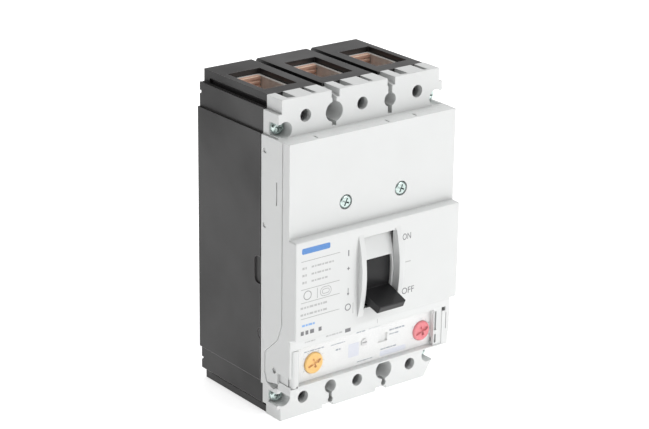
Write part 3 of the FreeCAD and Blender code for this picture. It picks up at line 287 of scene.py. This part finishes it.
# the edge gain of each material sets its painted edge highlight, and its crevice value sets its painted
# crevice shade
MATERIALS = {
    "black_base": moulded("thermoset_black", (0.024, 0.023, 0.023), 0.42, grain=1900, depth=0.02, edge=0.4,
                          edge_highlight_gain=9.0, uneven=0.14, specular=0.4, crevice_shade=0.7),
    "grey_cover": moulded("cover_grey", (0.755, 0.765, 0.76), 0.46, grain=2600, depth=0.01, edge_highlight_gain=1.14,
                          uneven=0.012, crevice_shade=0.5),
    "trip_grey": moulded("trip_unit_grey", (0.84, 0.845, 0.84), 0.45, uneven=0.015, crevice_shade=0.1),
    "toggle_black": moulded("toggle_black", (0.010, 0.010, 0.011), 0.42, grain=3000, depth=0.008, edge=0.3,
                            edge_highlight_gain=5.0, uneven=0.1, specular=0.35),
    "clear_flap": clear_plastic("flap_clear"),
    "zinc_screw": metal("zinc_blue", (0.66, 0.78, 0.75), 0.24, stain=0.5, blotch=1100),
    "clamp_steel": metal("zinc_clamp", (0.86, 0.83, 0.78), 0.45, brushed=(1, 1, 12), stain=0.2, edge=0.35,
                         edge_highlight_gain=1.5, metallic=0.3, crevice_shade=0.3),
    "clamp_screw_steel": metal("zinc_clamp_screw", (0.45, 0.45, 0.46), 0.33),
    "copper": metal("copper_bare", (1.0, 0.60, 0.46), 0.34, brushed=(1, 14, 14), scale=700, stain=0.16,
                    edge=0.35, edge_highlight_gain=1.7, metallic=0.35),
    "braid_copper": metal("copper_braid", (0.74, 0.38, 0.25), 0.45, scale=2500, depth=0.05),
    "mechanism_steel": metal("steel_stamped", (0.46, 0.46, 0.47), 0.36, brushed=(10, 1, 1)),
    "spring_steel": metal("steel_spring", (0.40, 0.40, 0.42), 0.30),
    "chute_steel": metal("steel_chute", (0.42, 0.43, 0.44), 0.35),
    "magnet_iron": metal("iron_soft", (0.26, 0.26, 0.27), 0.5),
    "bimetal": metal("bimetal_rolled", (0.56, 0.51, 0.42), 0.35, brushed=(1, 12, 1)),
    "shaft_plastic": moulded("thermoset_brown", (0.075, 0.055, 0.048), 0.48, uneven=0.15),
    "dial_orange": moulded("dial_orange", (0.96, 0.57, 0.14), 0.40, uneven=0.02, edge=0.15, crevice_shade=0.15),
    "dial_red": moulded("dial_red", (0.85, 0.20, 0.23), 0.40, uneven=0.02, edge=0.15, crevice_shade=0.15),
    "button_plastic": moulded("button_grey", (0.74, 0.74, 0.74), 0.42, edge=0.15),
}


def paint_cad_nodes():
    """Gives every CAD node the material of its slot in the record."""
    for part in frame["record"]["subparts"]:
        node = frame["nodes"][part["node"]]
        material = MATERIALS[part["material_slot"]]
        node.data.materials.clear()
        node.data.materials.append(material)


# ---------------------------------------------------------------- printed marks
def circle_points(x, z, radius, start=0.0, end=360.0):
    """Points on an arc, as (x, z). Angles are from +X towards +Z, in degrees."""
    steps = max(int(CIRCLE_STEPS * abs(end - start) / 360), 2)
    turns = [math.radians(start + (end - start) * step / steps) for step in range(steps + 1)]
    if abs(end - start) >= 360:
        turns = turns[:-1]
    return [(x + radius * math.cos(turn), z + radius * math.sin(turn)) for turn in turns]


def rectangle(x, z):
    return [(x[0], z[0]), (x[1], z[0]), (x[1], z[1]), (x[0], z[1])]


def centred(x, z, width, height):
    return rectangle((x - width / 2, x + width / 2), (z - height / 2, z + height / 2))


def rounded_box(x, z, width, height, radius):
    """Outline of a box with round corners, about a centre."""
    points = []
    corners = ((1, 1, 0), (-1, 1, 90), (-1, -1, 180), (1, -1, 270))
    for side, level, start in corners:
        points += circle_points(x + side * (width / 2 - radius), z + level * (height / 2 - radius), radius,
                                start, start + 90)
    return points


def add_wall(mesh, near, far, turned=False):
    """Faces between two loops of the same length."""
    count = len(near)
    for index in range(count):
        after = (index + 1) % count
        corners = (near[index], near[after], far[after], far[index])
        mesh.faces.new(reversed(corners) if turned else corners)


def add_loop(mesh, outline, y):
    return [mesh.verts.new((x * MM, y * MM, z * MM)) for x, z in outline]


def add_plate(mesh, outline, face):
    """Thin closed plate of ink with an outline of (x, z) points."""
    near = add_loop(mesh, outline, face - INK_THICKNESS)
    far = add_loop(mesh, outline, face + SINK)
    mesh.faces.new(near)
    mesh.faces.new(reversed(far))
    add_wall(mesh, near, far)


def add_frame(mesh, inner, outer, face):
    """Thin closed band of ink between two outlines with the same number of points."""
    near = [add_loop(mesh, outline, face - INK_THICKNESS) for outline in (inner, outer)]
    far = [add_loop(mesh, outline, face + SINK) for outline in (inner, outer)]
    add_wall(mesh, near[0], near[1])
    add_wall(mesh, far[0], far[1], turned=True)
    add_wall(mesh, near[0], far[0], turned=True)
    add_wall(mesh, near[1], far[1])


def add_ring(mesh, x, z, radius, width, face):
    add_frame(mesh, circle_points(x, z, radius - width), circle_points(x, z, radius), face)


def add_dashes(mesh, x, z, height, face, lengths=(1.3, 0.8, 2.1, 1.0, 1.7), gap=0.45):
    """Row of plain dashes of changing length, in place of a line of small print."""
    left = x[0]
    index = 0
    while left < x[1]:
        right = min(left + lengths[index % len(lengths)], x[1])
        if right - left > gap:
            add_plate(mesh, rectangle((left, right), (z - height / 2, z + height / 2)), face)
        left = right + gap
        index += 1


def print_marks(name, material, draw):
    """Turns what draw adds to a mesh into one printed piece on the housing."""
    mesh = bmesh.new()
    draw(mesh)
    bmesh.ops.recalc_face_normals(mesh, faces=mesh.faces)
    data = bpy.data.meshes.new(name)
    mesh.to_mesh(data)
    mesh.free()
    data.materials.append(material)
    piece = bpy.data.objects.new(name, data)
    bpy.context.collection.objects.link(piece)
    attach(piece, "housing")


def print_word(name, word, x, z, width, height, face, material):
    """A generic word, centred on a place and fitted to a width and height in millimetres."""
    curve = bpy.data.curves.new(name, "FONT")
    curve.body = word
    curve.align_x = "CENTER"
    curve.align_y = "CENTER"
    curve.size = height * MM
    curve.resolution_u = 6
    piece = bpy.data.objects.new(name, curve)
    bpy.context.collection.objects.link(piece)
    bpy.context.view_layer.update()
    plain = [corner[:2] for corner in piece.bound_box]
    wide = max(corner[0] for corner in plain) - min(corner[0] for corner in plain)
    tall = max(corner[1] for corner in plain) - min(corner[1] for corner in plain)
    curve.extrude = (INK_THICKNESS + SINK) / 2 * MM
    place = Matrix.Translation((x * MM, (face + (SINK - INK_THICKNESS) / 2) * MM, z * MM))
    turn = Matrix.Rotation(math.pi / 2, 4, "X")
    piece.matrix_world = place @ turn @ Matrix.Diagonal((width * MM / wide, height * MM / tall, 1, 1))
    curve.materials.append(material)
    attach(piece, "housing")


def draw_rules(mesh):
    """Fine rules of the rating panel, and the outlines that stand where its approval marks would be."""
    for z in RULE_LEVELS:
        add_plate(mesh, centred(-31.6, z, 20.4, 0.2), PANEL_FACE)
    add_plate(mesh, centred(-33.2, -10.0, 0.2, 4.6), PANEL_FACE)
    add_ring(mesh, -38.4, -9.9, 2.1, 0.35, PANEL_FACE)
    for grow in (0.0, 2.0):
        add_frame(mesh, rounded_box(-28.8, -10.1, 3.5 + grow, 1.8 + grow, 0.8 + grow / 2),
                  rounded_box(-28.8, -10.1, 3.9 + grow, 2.2 + grow, 1.0 + grow / 2), PANEL_FACE)


def draw_dark_marks(mesh):
    """Toggle symbols, the row of larger print and the small box beside it."""
    add_plate(mesh, centred(SYMBOL_X, 4.2, 0.55, 2.7), PANEL_FACE)
    add_plate(mesh, centred(SYMBOL_X, -2.8, 1.5, 0.35), PANEL_FACE)
    add_plate(mesh, centred(SYMBOL_X, -2.8, 0.36, 1.5), PANEL_FACE)
    add_plate(mesh, centred(SYMBOL_X, -13.0, 0.3, 2.6), PANEL_FACE)
    add_plate(mesh, [(SYMBOL_X - 0.6, -14.0), (SYMBOL_X, -15.3), (SYMBOL_X + 0.6, -14.0)], PANEL_FACE)
    add_ring(mesh, SYMBOL_X, -20.5, 1.6, 0.4, PANEL_FACE)
    add_dashes(mesh, (-41.8, -30.2), -26.8, 1.8, PANEL_FACE, lengths=(1.6, 1.5, 2.1, 0.6), gap=0.9)
    add_plate(mesh, centred(-13.4, -33.4, 3.0, 1.7), TRIM_FACE)


def draw_light_marks(mesh):
    """Small print of the rating panel as plain dashes."""
    for z in PRINT_LEVELS:
        add_dashes(mesh, (-41.2, -39.0), z, 1.0, PANEL_FACE, lengths=(1.1, 0.8))
        add_dashes(mesh, (-36.4, -26.0 + z / 2), z, 0.8, PANEL_FACE)
    for z in LOWER_PRINT_LEVELS:
        add_dashes(mesh, (-42.0, -28.0), z, 0.9, PANEL_FACE, lengths=(1.4, 1.0, 0.8, 2.0), gap=0.5)
    add_dashes(mesh, (-36.5, -30.4), -33.4, 0.6, TRIM_FACE, lengths=(0.5, 0.5, 0.9, 1.5), gap=0.4)
    add_dashes(mesh, (-25.2, -16.5), -33.4, 0.7, TRIM_FACE)
    add_plate(mesh, centred(-14.0, -21.5, 0.35, 5.0), PANEL_FACE)
    add_plate(mesh, centred(16.0, -7.0, 3.0, 0.45), PANEL_FACE)
    add_plate(mesh, centred(2.9, -33.2, 0.3, 2.0), TRIM_FACE)


def draw_blue_bar(mesh):
    add_plate(mesh, rounded_box(-34.1, 10.1, 14.8, 2.6, 0.7), PANEL_FACE)


def draw_pale_blue_marks(mesh):
    add_dashes(mesh, (-41.2, -34.5), -23.4, 0.9, PANEL_FACE, lengths=(1.6, 1.1, 2.0), gap=0.35)


def draw_dial_scales(mesh):
    """Scale ticks around both dials and the small print of the setting face."""
    face = FACEPLATE_FACE
    for x, z, radius in DIALS.values():
        for step in range(TICK_COUNT):
            angle = math.radians(TICK_START + step * TICK_TURN)
            start, end = radius + 0.6, radius + (1.5 if step % 2 == 0 else 1.1)
            along = (math.cos(angle), math.sin(angle))
            side = (-math.sin(angle) * TICK_HALF_WIDTH, math.cos(angle) * TICK_HALF_WIDTH)
            tick = [(x + along[0] * reach + side[0] * sign, z + along[1] * reach + side[1] * sign)
                    for reach, sign in ((start, 1), (end, 1), (end, -1), (start, -1))]
            add_plate(mesh, tick, face)
    for x, z, height in SETTING_ROWS:
        add_dashes(mesh, x, z, height, face)


def draw_setting_label(mesh):
    """Pale patches beside the trip button and under the label."""
    add_plate(mesh, rounded_box(-8.0, -45.0, 5.8, 6.4, 0.5), FACEPLATE_FACE)
    add_plate(mesh, rounded_box(14.1, -50.8, 14.6, 2.4, 0.5), FACEPLATE_FACE)


def print_all_marks():
    dark = ink("ink_dark_grey", (0.16, 0.16, 0.17))
    light = ink("ink_light_grey", (0.48, 0.48, 0.48))
    fine = ink("ink_fine_grey", (0.30, 0.30, 0.30))
    blue = ink("ink_blue", (0.06, 0.24, 0.62))
    pale_blue = ink("ink_pale_blue", (0.20, 0.42, 0.80))
    scale = ink("ink_scale", (0.26, 0.30, 0.36))
    lavender = ink("ink_lavender", (0.72, 0.74, 0.82))
    print_marks("rating_rules", fine, draw_rules)
    print_marks("toggle_symbols", dark, draw_dark_marks)
    print_marks("small_print", light, draw_light_marks)
    print_marks("blue_bar", blue, draw_blue_bar)
    print_marks("blue_dashes", pale_blue, draw_pale_blue_marks)
    print_marks("setting_patch", lavender, draw_setting_label)
    print_marks("dial_scales", scale, draw_dial_scales)
    print_word("word_on", "ON", 15.0, 4.7, 4.6, 2.9, PANEL_FACE, dark)
    print_word("word_off", "OFF", 16.3, -20.6, 6.8, 2.9, PANEL_FACE, dark)


# ---------------------------------------------------------------- stage
def make_camera():
    data = bpy.data.cameras.new("camera")
    data.lens = CAMERA_LENS
    data.sensor_width = SENSOR_WIDTH
    data.clip_start = 0.01
    camera = bpy.data.objects.new("camera", data)
    turn = (Matrix.Rotation(CAMERA_YAW, 4, "Z") @ Matrix.Rotation(math.pi / 2 + CAMERA_PITCH, 4, "X")
            @ Matrix.Rotation(CAMERA_ROLL, 4, "Z"))
    camera.matrix_world = Matrix.Translation(CAMERA_PLACE) @ turn
    bpy.context.collection.objects.link(camera)
    bpy.context.scene.camera = camera


def area_light(name, place, target, size, power):
    data = bpy.data.lights.new(name, "AREA")
    data.shape = "SQUARE"
    data.size = size
    data.energy = power
    light = bpy.data.objects.new(name, data)
    aim = (Vector(target) - Vector(place)).to_track_quat("-Z", "Y")
    light.matrix_world = Matrix.Translation(place) @ aim.to_matrix().to_4x4()
    bpy.context.collection.objects.link(light)


def make_surround():
    """Soft white light from all round, weaker from the left."""
    world = bpy.data.worlds.new("surround")
    world.use_nodes = True
    tree = world.node_tree
    coordinates = tree.nodes.new("ShaderNodeTexCoord")
    parts = tree.nodes.new("ShaderNodeSeparateXYZ")
    tree.links.new(coordinates.outputs["Generated"], parts.inputs["Vector"])
    sideways = ramp(tree, parts.outputs["X"], -0.9, 0.3)
    sideways.node.inputs["To Min"].default_value = SURROUND_LEFT
    sideways.node.inputs["To Max"].default_value = SURROUND_RIGHT
    background = tree.nodes["Background"]
    background.inputs["Color"].default_value = (1, 1, 1, 1)
    tree.links.new(sideways, background.inputs["Strength"])
    bpy.context.scene.world = world
    bpy.context.scene.view_settings.view_transform = "Standard"


def make_floor():
    lowest = cad_bounds[0][2] - FLOOR_GAP * MM
    mesh = bpy.data.meshes.new("floor")
    half = FLOOR_HALF
    corners = [(-half, -half, lowest), (half, -half, lowest), (half, half, lowest), (-half, half, lowest)]
    mesh.from_pydata(corners, [], [(0, 1, 2, 3)])
    floor = bpy.data.objects.new("floor", mesh)
    material, tree, shader = new_material("floor_white")
    shader.inputs["Base Color"].default_value = (0.8, 0.8, 0.8, 1)
    shader.inputs["Roughness"].default_value = 0.9
    shader.inputs["Emission Color"].default_value = (1, 1, 1, 1)
    shader.inputs["Emission Strength"].default_value = FLOOR_GLOW
    mesh.materials.append(material)
    bpy.context.collection.objects.link(floor)


def make_studio():
    """Pale floor, an even white surround and soft area lights."""
    make_surround()
    make_floor()
    area_light("key", (0.9, -1.5, 0.7), (0, 0, 0), 0.8, KEY_POWER)
    area_light("top", (0.25, 0.0, 1.6), (0, 0, 0), 1.2, TOP_POWER)
    area_light("low_left", (-0.32, 0.10, -0.12), (-0.045, -0.005, -0.05), 0.16, LOW_LEFT_POWER)


paint_cad_nodes()
print_all_marks()
make_camera()
make_studio()
